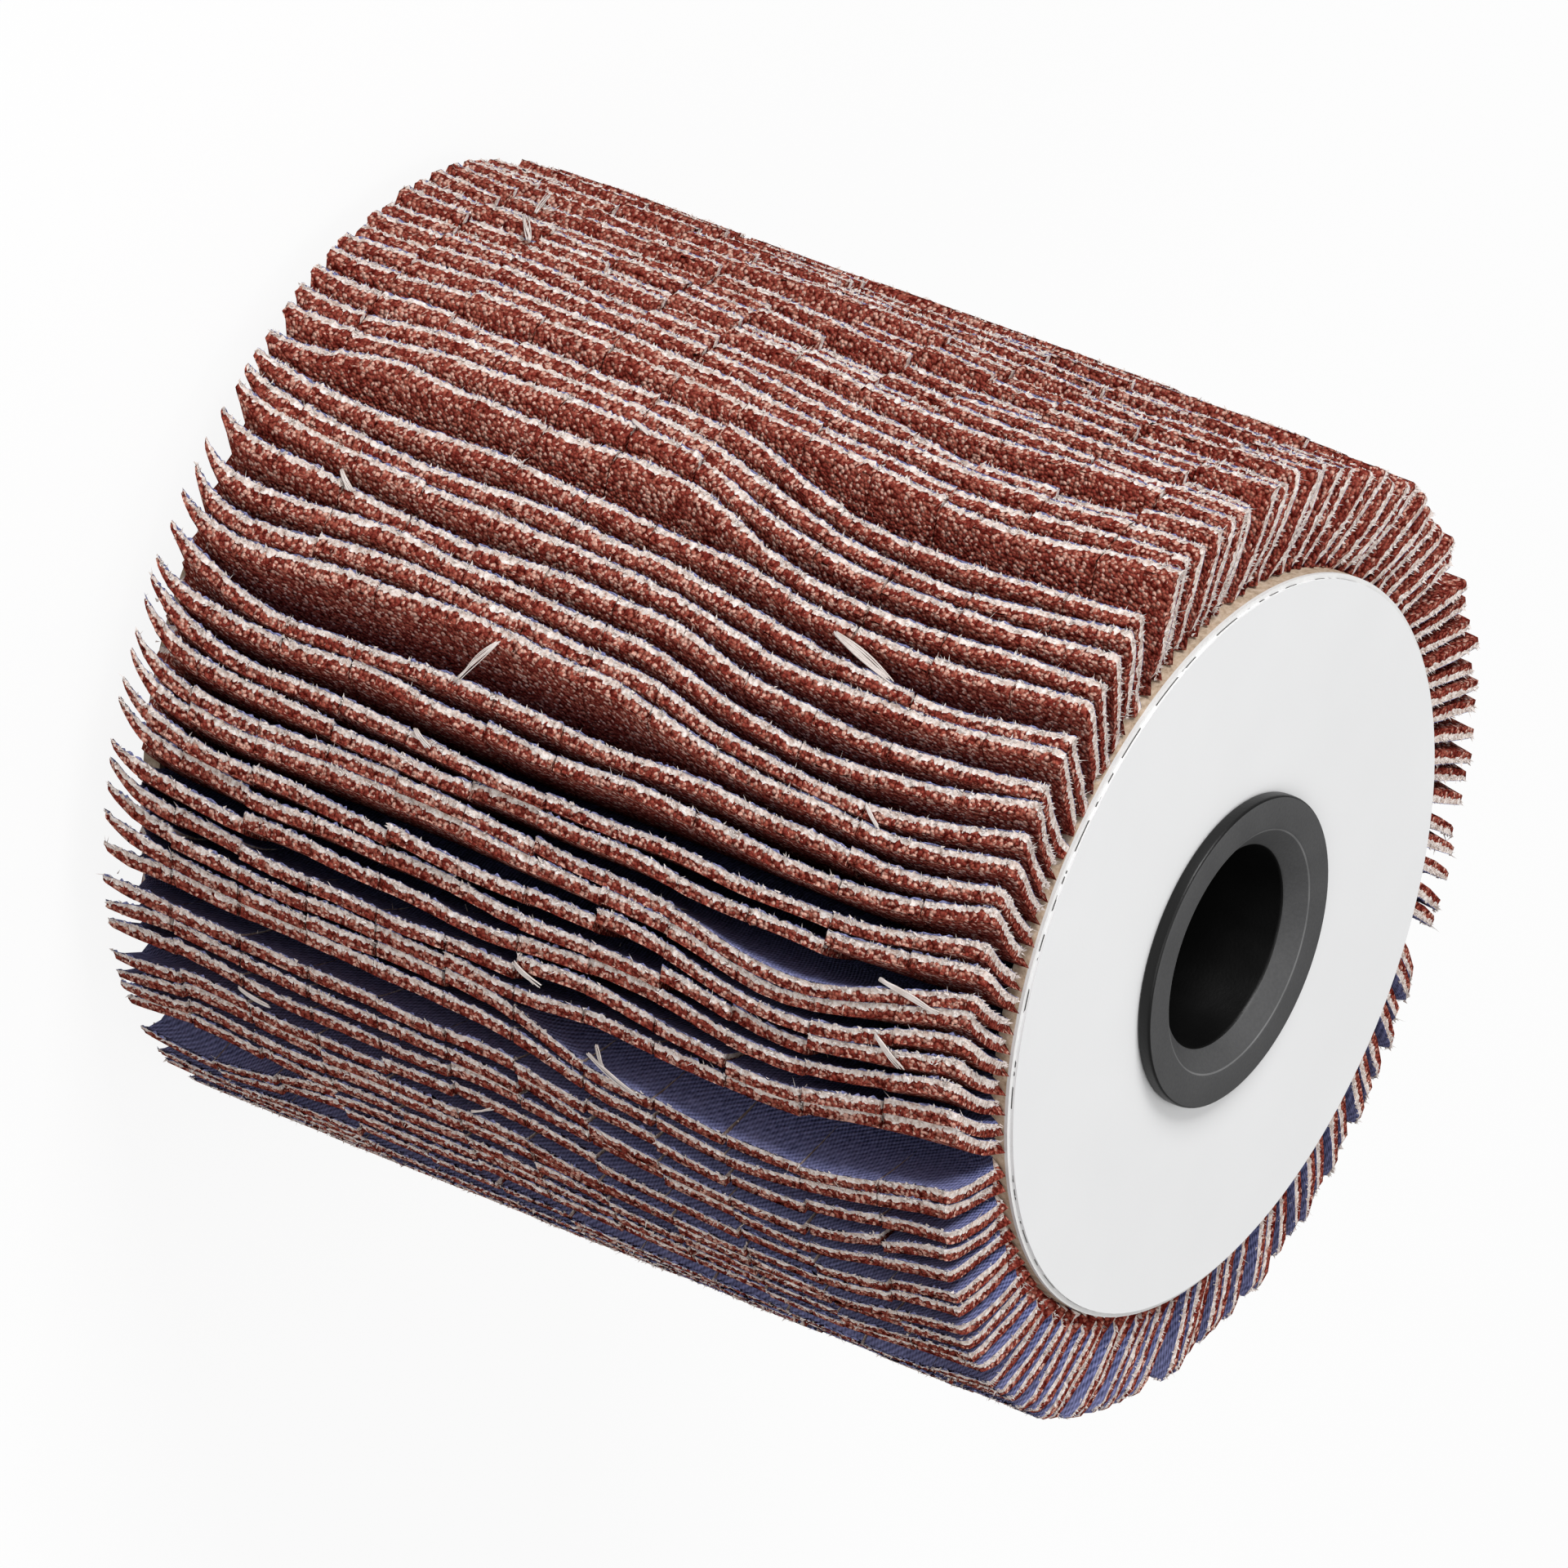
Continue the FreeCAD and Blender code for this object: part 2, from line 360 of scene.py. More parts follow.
# %% Open the partings
parting_reach = 8.0             # millimetres along the rim over which the neighbours give way
partings = (
    (37.0, -4.0, 66.0, 1.2),
    (36.5, 30.0, 70.0, 1.8),
    (52.0, 38.0, 60.0, 1.4),
    (26.0, 1.0, 38.0, 2.3),
    (21.5, 41.0, 62.0, 0.9),
    (11.0, -4.0, 16.0, 0.8),
    (0.5, 1.0, 41.0, 2.0),
    (-4.5, 26.0, 56.0, 0.7),
    (-10.8, 39.0, 57.0, 1.5),
    (-33.0, 1.0, 10.5, 1.0),
    (-36.0, 27.0, 70.0, 3.4),
    (-47.0, 43.0, 60.0, 1.0),
    (-52.0, -4.0, 10.5, 1.2),
    (-66.0, -4.0, 14.5, 4.2),
    (-73.0, 9.0, 64.0, 1.8),
    (68.0, -4.0, 50.0, 1.0),
    (84.0, 22.0, 66.0, 1.6),
    (103.0, -4.0, 34.0, 1.8),
    (121.0, 25.0, 66.0, 2.2),
    (142.0, -4.0, 30.0, 2.0),
    (158.0, 14.0, 50.0, 1.4),
    (176.0, 33.0, 66.0, 2.4),
    (-164.0, -4.0, 28.0, 1.7),
    (-149.0, 24.0, 58.0, 2.2),
    (-131.0, -4.0, 36.0, 1.6),
    (-114.0, 28.0, 66.0, 2.6),
    (-97.0, -4.0, 24.0, 1.9),
)
for parting_heading, start, end, width in partings:
    away = np.radians(around(heading, parting_heading)) * wheel_radius
    covered = smooth_step((z - start) / 10.0) * smooth_step((end - z) / 10.0)
    sweep = sweep + covered * width / 2 * np.sign(away) * np.exp(-abs(away) / parting_reach)
print(len(partings), "partings")

# %% [markdown]
# No two flaps lie quite alike. Each drifts a little along its length, and at one of its slits the cloth has
# sprung open: the finger on one side stands up and the one on the other side lies down. At the end, flaps
# that would run into each other push each other apart, as cloth does.

# %% Give every flap its own lie
open_slits = (4, 10, 2, 6, 10, 5, 3, 10, 6, 1)  # finger lines that the flaps take in turn, as the solids do
matted = smooth_step((heading - 38.0) / 20.0) * smooth_step((125.0 - heading) / 20.0)
drift = seed.normal(0.0, 0.26, (flap_count, 1, 1)) * (1 + 0.3 * matted)
sway = seed.uniform(0, 2 * math.pi, (flap_count, 1, 1))
bunching = np.interp(heading, (-60, -37, -10, 30, 60), (0, 0.2, -0.7, 0.5, 0))
long_wave = 0.20 * np.sin(z * 2 * math.pi / 47 + sway)
middle_wave = 0.15 * np.sin(z * 2 * math.pi / 23 + 2 * sway)
short_wave = 0.05 * np.sin(z * 2 * math.pi / 9 + 3 * sway)
sweep = sweep + bunching + drift + long_wave + middle_wave + short_wave


def spring(number, line, step):
    """Parts the cloth at one slit: the front side lifts by the step and the rear side drops by as much."""
    away = z - line * finger_width
    finger = np.arange(finger_count)[:, None] + 0 * z
    side = np.where(finger >= line, 1.0, -1.0)
    sweep[number] += side * step * np.exp(-abs(away) / 5.0)


lower_side = (heading[:, 0, 0] < -8) & (heading[:, 0, 0] > -100)
for number in range(flap_count):
    strength = 0.25 if lower_side[number] else 0.09
    spring(number, open_slits[number % len(open_slits)], strength * seed.uniform(0.5, 1.5))
    if seed.uniform() < (0.65 if lower_side[number] else 0.25):
        spring(number, seed.randint(1, finger_count), strength * seed.uniform(-1.6, 1.6))
sweep = sweep + seed.normal(0.0, 0.025, (flap_count, finger_count, 1)) * (1 - 0.3 * matted)

bend_hold = 24.3                # the cloth keeps the root's direction up to about this radius
pitch = 2 * math.pi * wheel_radius / flap_count
for step in range(120):
    turned = sweep / wheel_radius
    lean = np.arctan2(wheel_radius * np.sin(turned), wheel_radius * np.cos(turned) - bend_hold) - turned
    needed = (flap_thickness + 0.05) / np.cos(lean)
    short = np.maximum(0.0, needed - (pitch + sweep - np.roll(sweep, -1, axis=0)))
    sweep += short / 2
    sweep -= np.roll(short, 1, axis=0) / 2
print("tips stand at least", round(float((pitch + sweep - np.roll(sweep, -1, axis=0)).min()), 2), "mm apart")

# %% [markdown]
# ## One flat flap
# All flaps are stamped alike, so one flat flap is cut first and then bent a hundred times. It starts as a
# grid. Splitting the edges along eleven lines parts the fingers, Solidify gives the cloth its thickness, and
# more cuts along the rim give the frayed edge enough points. The flat flap keeps its place along the width
# in X, its place from root to rim in Y, from 0 to 1, and its depth in the cloth in Z.

# %% Cut the flat flap
rows = (0.0, 0.16, 0.32, 0.487, 0.507, 0.60, 0.70, 0.79, 0.87, 0.93, 0.97, 1.0)
slit_foot_share = rows[3]
rim_cuts = 2


def flat_flap():
    flat = bmesh.new()
    columns = finger_count * (places_in_finger - 1)
    bmesh.ops.create_grid(flat, x_segments=columns, y_segments=len(rows) - 1, size=0.5)
    for v in flat.verts:
        v.co.y = rows[round((v.co.y + 0.5) * (len(rows) - 1))]
        v.co.x = (v.co.x + 0.5) * flap_width
    slits = []
    for edge in flat.edges:
        a, b = (v.co for v in edge.verts)
        lines = a.x / finger_width
        on_line = abs(a.x - b.x) < 1e-3 and abs(lines - round(lines)) < 1e-3
        inner = 0 < round(lines) < finger_count
        if on_line and inner and min(a.y, b.y) > slit_foot_share - 1e-3:
            slits.append(edge)
    bmesh.ops.split_edges(flat, edges=slits)
    bmesh.ops.solidify(flat, geom=flat.faces[:], thickness=1.0)
    lowest = min(v.co.z for v in flat.verts)
    for v in flat.verts:
        v.co.z -= lowest

    def at_rim(edge):
        return min(v.co.y for v in edge.verts) > 0.999

    def through(edge):
        return abs(edge.verts[0].co.z - edge.verts[1].co.z) > 0.4

    deep = [e for e in flat.edges if at_rim(e) and through(e)]
    bmesh.ops.subdivide_edges(flat, edges=deep, cuts=1, use_grid_fill=True)
    level = [e for e in flat.edges if at_rim(e) and not through(e)]
    bmesh.ops.subdivide_edges(flat, edges=level, cuts=rim_cuts, use_grid_fill=True)
    bmesh.ops.recalc_face_normals(flat, faces=flat.faces[:])
    uv = flat.loops.layers.uv.new("cloth")
    depth_layer = flat.verts.layers.float.new("depth")
    finger_layer = flat.verts.layers.int.new("finger")
    for v in flat.verts:
        v[depth_layer] = min(1.0, max(0.0, v.co.z))
        beside = sum(f.calc_center_median().x for f in v.link_faces) / len(v.link_faces)
        v[finger_layer] = min(finger_count - 1, int(beside / finger_width))
    for face in flat.faces:
        face.smooth = abs(face.normal.z) > 0.5
        for loop in face.loops:
            loop[uv].uv = (loop.vert.co.x, loop.vert.co.y * (wheel_radius - root_radius))
    for edge in flat.edges:
        if len({face.smooth for face in edge.link_faces}) > 1:
            edge.smooth = False
    mesh = bpy.data.meshes.new("flat_flap")
    flat.to_mesh(mesh)
    flat.free()
    return mesh


flat = flat_flap()
flat_points = np.zeros(len(flat.vertices) * 3)
flat.vertices.foreach_get("co", flat_points)
flat_points = flat_points.reshape(-1, 3)
flat_finger = np.zeros(len(flat.vertices), int)
flat.attributes["finger"].data.foreach_get("value", flat_finger)
flat_triangles = sum(len(polygon.vertices) - 2 for polygon in flat.polygons)
print("flat flap:", len(flat.vertices), "points,", flat_triangles, "triangles")

# %% [markdown]
# ## Bending
# Each point of the flat flap is carried onto the bent one: straight through the resin, then along a
# quadratic curve to the rim. Its depth moves it square to the curve. Near the rim it also slides along the
# cloth until it meets the wheel's outline, because the wheel was ground round after the flaps were set.
# The tips have also crept towards the front on the side that faces the camera. There the cloth beyond the
# front disc stands higher than the cloth under it, so the disc looks as if it had been pressed in. The rear
# corners there have been worn hollow under the tip, which leaves horns.

# %% Carry flat points onto a bent flap
rng = np.random.RandomState(5)
bend_start = resin_radius + 0.3
root_share = (bend_start - root_radius) / (wheel_radius - root_radius)
slit_gap = 0.13                 # width of an ordinary slit at the rim
proud = 0.15                    # the longest yarn ends stand this far out of the ground rim
wear_depth = 0.35               # the most by which a finger is worn shorter than the rim
finger_wear = seed.uniform(0.0, 1.0, (flap_count, finger_count)) ** 2 * (1 + 1.4 * matted[:, :1, 0])
slit_width = seed.uniform(0.1, 1.1, (flap_count, finger_count + 1)) ** 2
blue_side = (heading[:, :1, 0] < -28) & (heading[:, :1, 0] > -110)
slit_width = slit_width + np.where(blue_side, seed.uniform(0.4, 1.6, slit_width.shape), 0.0)
turned_headings = (-180, -100, -70, -45, -20, 10, 28, 45, 75, 120, 180)
creep = (0.0, 0.2, 0.4, 0.7, 0.9, 0.7, 0.5, 0.3, 0.1, 0.0, 0.0)
shoulder = (0.0, 0.7, 1.0, 1.15, 1.3, 1.2, 1.0, 0.85, 0.5, 0.1, 0.0)
hollow = (0.2, 0.4, 0.8, 1.9, 2.6, 2.5, 1.1, 0.2, 0.1, 0.2, 0.2)
spread = (0.0, 0.0, 0.0, 0.0, 0.0, 0.15, 0.3, 0.45, 0.7, 0.6, 0.0)
pointed = (1.0, 0.8, 0.2, 0.0, 0.0, 0.0, 0.0, 0.0, 0.0, 0.5, 1.0)
end_reach = 7.0                 # cloth that gives way at either end of the width
shoulder_from = 44.0            # the raised cloth at the front starts here and reaches its height over
shoulder_length = 16.0          # this much of the width
corner_share = 0.14             # share of the root to rim length over which a front corner is rounded
corner_rounding = 0.9           # how far the pointed corners are worn back
horn_length = 2.0               # cloth at the rear end that is worn thin
claw_length = 3.0               # cloth at the front end that is worn thin
tip_thinning = 0.7              # share of the thickness that is gone at the very tip
front_inset = seed.uniform(0.0, 0.5, flap_count)
corner_worn = seed.uniform(0.0, 1.0, flap_count) ** 2 * 1.1
hollow_share = seed.uniform(0.65, 1.1, flap_count)


def front_corner(number, run):
    """How far the front end of a flap is worn back at each height, in millimetres."""
    sharp = np.interp(heading[number, 0, 0], turned_headings, pointed)
    rounding = corner_worn[number] + corner_rounding * sharp
    return front_inset[number] + rounding * np.clip((run - (1 - corner_share)) / corner_share, 0.0, 1.0) ** 2


def thinned(number, along, run, depth):
    """The depth in the cloth once the tips of both ends are worn thin."""
    place = heading[number, 0, 0]
    horn = np.interp(place, turned_headings, hollow) / max(hollow)
    horn = horn * np.clip(1 - along / horn_length, 0.0, 1.0)
    claw = np.interp(place, turned_headings, pointed)
    claw = claw * np.clip(1 - (flap_width - along) / claw_length, 0.0, 1.0)
    return 0.5 + (depth - 0.5) * (1 - tip_thinning * (horn + claw) * smooth_step((run - 0.78) / 0.22))


def bent(number, along, run, depth, finger, ragged=0.0):
    """Points of one flap in the wheel's frame, in millimetres."""
    place = np.clip((along / finger_width - finger) * (places_in_finger - 1), 0, places_in_finger - 1 - 1e-6)
    low = place.astype(int)
    table = sweep[number]
    lies = table[finger, low] + (place - low) * (table[finger, low + 1] - table[finger, low])
    rim_radius = wheel_radius + proud - wear_depth * finger_wear[number, finger] - ragged
    tip_x = rim_radius * np.cos(lies / wheel_radius)
    tip_y = -rim_radius * np.sin(lies / wheel_radius)
    t = np.clip((run - root_share) / (1 - root_share), 0.0, 1.0)
    x = (1 - t) ** 2 * bend_start + 2 * t * (1 - t) * bend_hold + t * t * tip_x
    y = t * t * tip_y
    x = np.where(run < root_share, root_radius + run / root_share * (bend_start - root_radius), x)
    dx = 2 * (1 - t) * (bend_hold - bend_start) + 2 * t * (tip_x - bend_hold)
    dy = 2 * t * tip_y
    length = np.hypot(dx, dy)
    dx, dy = dx / length, dy / length
    aside = (depth - 0.5) * flap_thickness
    x, y = x - dy * aside, y + dx * aside
    slide = (rim_radius - np.hypot(x, y)) * smooth_step((run - 0.75) / 0.25)
    x, y = x + dx * slide, y + dy * slide
    beyond = np.hypot(x, y) - disc_radius - 0.05
    crept = np.interp(heading[number, 0, 0], turned_headings, creep)
    crept = crept * np.clip(beyond / (wheel_radius - disc_radius), 0.0, 1.0)
    raised = np.interp(heading[number, 0, 0], turned_headings, shoulder)
    near_disc = smooth_step((along - shoulder_from) / shoulder_length)
    crept = crept + raised * np.clip(beyond / 0.05, 0.0, 1.0) * near_disc
    fanned = np.interp(heading[number, 0, 0], turned_headings, spread)
    crept = crept + fanned * (2 * along / flap_width - 1) * np.clip(beyond / 3.0, 0.0, 1.0)
    angle = math.radians(number * flap_angle)
    cos, sin = math.cos(angle), math.sin(angle)
    return np.stack([x * cos - y * sin, x * sin + y * cos, rear_z + along + crept], axis=1)


def bend_flap(number):
    """The points of a whole flap, in metres."""
    along, run, depth = flat_points.T
    middle = (flat_finger + 0.5) * finger_width
    side = np.where(along > middle, flat_finger + 1, flat_finger)
    opening = slit_gap * slit_width[number, side] * smooth_step((run - slit_foot_share) / (1 - slit_foot_share))
    inner = (side > 0) & (side < finger_count)
    along = middle + (along - middle) * (1 - np.where(inner, opening, 0.0) / finger_width)
    at_rim = run > 0.999
    count = len(along)
    ragged = np.where(at_rim, rng.uniform(0.0, 0.20, count) + np.where(depth > 0.75, 0.08, 0.0), 0.0)
    worn_in = np.interp(heading[number, 0, 0], turned_headings, hollow) * hollow_share[number]
    worn_in = worn_in * smooth_step((1.0 - run) / 0.14) * smooth_step((run - 0.73) / 0.11)
    near_rear = np.clip(1 - along / end_reach, 0.0, 1.0) ** 2
    near_front = np.clip(1 - (flap_width - along) / end_reach, 0.0, 1.0) ** 2
    corner = front_corner(number, run)
    outside_disc = smooth_step((run - 0.5) / 0.1)
    along = along + worn_in * near_rear - corner * near_front * outside_disc
    cut_unevenness = rng.normal(0.0, 0.055, count)
    face_unevenness = rng.normal(0.0, 0.012, count)
    depth = depth + np.where(at_rim, cut_unevenness, face_unevenness)
    flat_along = flat_points[:, 0]
    depth = thinned(number, flat_along, run, depth)
    at_end = (flat_along < 0.01) | (flat_along > flap_width - 0.01)
    free_end = at_end & (run > slit_foot_share + 0.01)
    inward = np.where(flat_along < 1.0, 1.0, -1.0)
    along = along + np.where(free_end, inward * rng.uniform(0.0, 0.16, count), 0.0)
    along = along + np.where(at_rim & ~free_end, rng.normal(0.0, 0.02, count), 0.0)
    return bent(number, along, run, depth, flat_finger, ragged) * MM


# %% [markdown]
# ## Frayed ends
# Loose ends of yarn stand along the rim, along both ends of every flap and in its slits. There are thousands,
# so each is only a closed three-sided spike. One flap's worth is made once, and each spike of it is then set
# on its foot, turned and stretched.

# %% Make one flap's frayed ends
frays_per_flap = 420
front_frays = 0.12              # shares of the frayed ends that stand at the front end,
rear_frays = 0.04               # at the rear end
slit_frays = 0.04               # and in the slits, and the rest stand along the rim
blunt_frays = 0.7               # share that are short tufts, and the rest are hairs


def loose_frays():
    frays = bmesh.new()
    which = frays.verts.layers.int.new("fray")
    for number in range(frays_per_flap):
        made = bmesh.ops.create_cone(
            frays, segments=3, cap_ends=True, radius1=1.0, radius2=0.0, depth=1.0,
            matrix=Matrix.Translation((0, 0, 0.5)))
        for v in made["verts"]:
            v[which] = number
    for face in frays.faces:
        face.material_index = 1
    frays.verts.layers.float.new("depth")
    frays.verts.layers.int.new("finger")
    mesh = bpy.data.meshes.new("frays")
    frays.to_mesh(mesh)
    frays.free()
    return mesh


frays = loose_frays()
fray_points = np.zeros(len(frays.vertices) * 3)
frays.vertices.foreach_get("co", fray_points)
fray_points = fray_points.reshape(-1, 3)
fray_number = np.zeros(len(frays.vertices), int)
frays.attributes["fray"].data.foreach_get("value", fray_number)
print("frayed ends:", frays_per_flap, "a flap,", len(frays.polygons), "faces")


def unit(vectors):
    return vectors / np.linalg.norm(vectors, axis=1, keepdims=True)


def set_frays(number):
    """The points of one flap's frayed ends, in metres."""
    count = frays_per_flap
    along = rng.uniform(0.05, flap_width - 0.05, count)
    run = np.full(count, 1.0)
    kind = rng.uniform(size=count)
    front_from = 1 - front_frays
    rear_from = front_from - rear_frays
    slit_from = rear_from - slit_frays
    front = kind > front_from
    rear = (kind > rear_from) & (kind <= front_from)
    slit = (kind > slit_from) & (kind <= rear_from)
    along = np.where(slit, np.round(along / finger_width) * finger_width, along)
    run = np.where(front | slit, rng.uniform(0.55, 1.0, count), run)
    front_edge = flap_width - front_corner(number, run) - 0.12
    along = np.where(front, front_edge, np.minimum(along, front_edge))
    depth = thinned(number, along, run, rng.uniform(0.05, 0.42, count))
    finger = np.clip((along / finger_width).astype(int), 0, finger_count - 1)
    feet = bent(number, along, run, depth, finger, ragged=0.1)
    outward = unit(feet * [1, 1, 0])
    aside = np.stack([-outward[:, 1], outward[:, 0], 0 * along], axis=1)
    forward = np.array([[0.0, 0.0, 1.0]])
    out_by = np.where(run > 0.99, rng.uniform(0.1, 0.8, count), rng.normal(0, 0.4, count))
    end_by = np.where(front, 1.0, np.where(rear, -1.0, 0.0)) + rng.normal(0, 0.7, count)
    back_by = rng.normal(0.55, 0.5, count)
    way = unit(outward * out_by[:, None] - aside * back_by[:, None] + forward * end_by[:, None])
    blunt = rng.uniform(size=count) < blunt_frays
    length = np.where(blunt, rng.uniform(0.10, 0.34, count), 0.15 + rng.gamma(2.0, 0.09, count))
    over = np.linalg.norm((feet + way * length[:, None])[:, :2], axis=1) > wheel_radius + proud + 0.2
    length = np.where(over, length * 0.5, length)
    across = unit(np.cross(way, aside + 0.3 * forward))
    third = np.cross(way, across)
    thickness = np.where(blunt, rng.uniform(0.06, 0.13, count), rng.uniform(0.02, 0.05, count))
    k = fray_number
    points = feet[k] + way[k] * (fray_points[:, 2:] * length[k, None])
    points = points + across[k] * (fray_points[:, :1] * thickness[k, None])
    points = points + third[k] * (fray_points[:, 1:2] * thickness[k, None])
    return points * MM


# %% [markdown]
# ## Pulled threads
# Here and there a whole bundle of yarn has been pulled out of a slit and lies across the tips. Each bundle is
# a few thin, bent strands that start together and part.

# %% Lay the pulled threads
# Heading and place along the width where a bundle starts, its run along the rim (upwards) and along the
# width, and how many strands it has beyond the first three
pulled = (
    (3.0, 24.6, -3.1, -1.9, 6),
    (17.5, 44.6, -1.6, 4.9, 5),
    (15.0, 10.0, -1.0, 1.3, 3),
    (-31.5, 30.8, -0.9, 1.9, 4),
    (-39.5, 36.4, -1.7, 3.4, 4),
    (-38.0, 36.8, -1.5, 0.6, 2),
    (-17.0, 55.4, -0.7, 4.2, 5),
    (-23.5, 55.8, -1.4, 2.2, 4),
    (0.6, 51.2, -1.0, 1.3, 3),
    (55.5, 9.5, 2.6, -2.2, 4),
    (62.0, 7.6, 3.4, -1.3, 3),
    (-9.5, 21.2, -0.8, 1.2, 2),
    (33.5, 25.0, -0.6, 1.6, 3),
    (-56.0, 26.8, 1.0, 1.6, 3),
    (-50.5, 10.4, -0.6, 2.1, 3),
    (130.0, 33.0, -2.4, 2.6, 5),
    (-120.0, 18.0, 2.2, -2.4, 4),
    (170.0, 50.0, -1.8, 1.6, 4),
)
strand_cuts = 7
strand_thickness = 0.075


def lay_strand(target, heading_at, place, up, forward):
    """Adds one strand, bent on its way from its foot to its end, to a pack that is being built."""
    strand = bmesh.new()
    bmesh.ops.create_cone(
        strand, segments=4, cap_ends=True, radius1=strand_thickness, radius2=strand_thickness * 0.6,
        depth=1.0, matrix=Matrix.Translation((0, 0, 0.5)))
    lengthwise = [e for e in strand.edges if abs(e.verts[0].co.z - e.verts[1].co.z) > 0.5]
    bmesh.ops.subdivide_edges(strand, edges=lengthwise, cuts=strand_cuts, use_grid_fill=True)
    bow, wander = rng.normal(0, 0.07), rng.normal(0, 0.05)
    for v in strand.verts:
        t = v.co.z
        radius = wheel_radius + proud / 2 + 0.1 * math.sin(math.pi * t) + v.co.x
        along = place + forward * t + bow * math.sin(math.pi * t) * up / 3 + wander * math.sin(5 * t)
        rise = up * t - bow * math.sin(math.pi * t) * forward / 3 + v.co.y
        angle = math.radians(-90 - heading_at) - rise / wheel_radius
        v.co = Vector((radius * math.cos(angle), radius * math.sin(angle), rear_z + along)) * MM
    bmesh.ops.recalc_face_normals(strand, faces=strand.faces[:])
    for face in strand.faces:
        face.material_index = 1
        face.smooth = True
    mesh = bpy.data.meshes.new("strand")
    strand.to_mesh(mesh)
    strand.free()
    target.from_mesh(mesh)
    bpy.data.meshes.remove(mesh)


def lay_threads(target, index):
    """Adds the bundles that start nearest to one pack."""
    for heading_at, place, up, forward, strands in pulled:
        nearest = int(np.argmin(abs(around(heading[:, 0, 0], heading_at))))
        if nearest // flaps_in_pack == index:
            for strand in range(strands + 3):
                lay_strand(
                    target, heading_at + rng.normal(0, 0.12), place + rng.normal(0, 0.07),
                    up * rng.uniform(0.85, 1.03), forward * rng.uniform(0.85, 1.03))


# %% [markdown]
# ## All the flaps
# Each pack of three flaps stands for one node of the solid model. The frayed ends are part of the pack, with
# a finish of their own.

# %% Bend, fray and join the flaps, pack by pack
triangles = 0
for index, node in enumerate(flap_packs):
    pack = bmesh.new()
    for number in range(index * flaps_in_pack, (index + 1) * flaps_in_pack):
        flat.vertices.foreach_set("co", bend_flap(number).ravel())
        pack.from_mesh(flat)
        frays.vertices.foreach_set("co", set_frays(number).ravel())
        pack.from_mesh(frays)
    lay_threads(pack, index)
    mesh = bpy.data.meshes.new(node + "_cloth")
    pack.to_mesh(mesh)
    pack.free()
    mesh.materials.append(cloth.material)
    mesh.materials.append(fray.material)
    piece = bpy.data.objects.new(node + "_cloth", mesh)
    bpy.context.scene.collection.objects.link(piece)
    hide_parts(node)
    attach(piece, "root")
    triangles += sum(len(polygon.vertices) - 2 for polygon in mesh.polygons)
bpy.data.meshes.remove(flat)
bpy.data.meshes.remove(frays)
print("flaps:", triangles, "triangles in", len(flap_packs), "packs")

# %% [markdown]
# ## Board, paper, resin and tube
# The end discs are pressed fibreboard, and the front one has a white facing. The label is smooth white paper,
# with a broken dark line of painted shadow under its edge, and the core is cast resin round a board tube. These
# solids already have the right shape, so they stay and only get a finish.

# %% Finishes of the plain pieces
board = Finish("fibreboard", Roughness=0.85, Specular_IOR_Level=0.25)
board_spot = board.place()
fibres = board.noise(board_spot, 2.5, detail=4.0, roughness=0.7)
board.feed("Base Color", board.ramp(fibres, (
    (0.30, (0.300, 0.220, 0.150)),
    (0.50, (0.500, 0.400, 0.300)),
    (0.70, (0.640, 0.540, 0.430)),
)))
board.raised(fibres, 0.05)

facing = 0.22                   # white facing on the outer side of the front disc
faced = Finish("faced_fibreboard", Roughness=0.75, Specular_IOR_Level=0.25)
faced_spot = faced.place()
faced_height = faced.axis(faced_spot, 2)
faced_fibres = faced.noise(faced_spot, 2.5, detail=4.0, roughness=0.7)
core_colour = faced.ramp(faced_fibres, (
    (0.30, (0.300, 0.210, 0.140)),
    (0.50, (0.480, 0.370, 0.270)),
    (0.70, (0.600, 0.490, 0.390)),
))
is_faced = faced_height > (faced_fibres * 0.08 + (box_mm("front_end_disc")[1].z - facing - 0.04))
faced.feed("Base Color", faced.mix(is_faced, core_colour, faced.mix(
    faced_fibres, (0.640, 0.635, 0.625), (0.740, 0.738, 0.732))))
faced.raised(faced_fibres, 0.02)

paper = Finish("label_paper", Roughness=0.55, Specular_IOR_Level=0.35)
paper_spot = paper.place()
paper_tone = paper.noise(paper_spot, 0.12, detail=2.0)
paper_colour = paper.mix(paper_tone, (0.715, 0.717, 0.720), (0.755, 0.757, 0.760))
paper_x = paper.axis(paper_spot, 0)
paper_y = paper.axis(paper_spot, 1)
paper_height = paper.axis(paper_spot, 2)
label_low, label_high = box_mm("front_label")
at_cut = (paper_x * paper_x + paper_y * paper_y) > (label_high.x - 0.04) ** 2
# Painted shadow: a broken dark line where the label's edge stands on the disc
label_edge_shadow = at_cut * (paper_height < (label_low.z + 0.08)) * (paper.noise(paper_spot, 0.7) > 0.5)
paper.feed("Base Color", paper.mix(label_edge_shadow, paper_colour, (0.060, 0.058, 0.055)))
paper.raised(paper.noise(paper_spot, 6.0, detail=3.0), 0.004)

resin = Finish("cast_resin", Roughness=0.35, Specular_IOR_Level=0.5)
resin_noise = resin.noise(resin.place(), 0.8, detail=3.0)
resin.feed("Base Color", resin.mix(resin_noise, (0.180, 0.110, 0.045), (0.330, 0.220, 0.100)))
resin.raised(resin_noise, 0.1)

for node, finish in (
        ("front_end_disc", faced), ("rear_end_disc", board), ("core_tube", board),
        ("front_label", paper), ("resin_core", resin)):
    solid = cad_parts[node]
    solid.data.materials.clear()
    solid.data.materials.append(finish.material)
print("plain pieces finished")
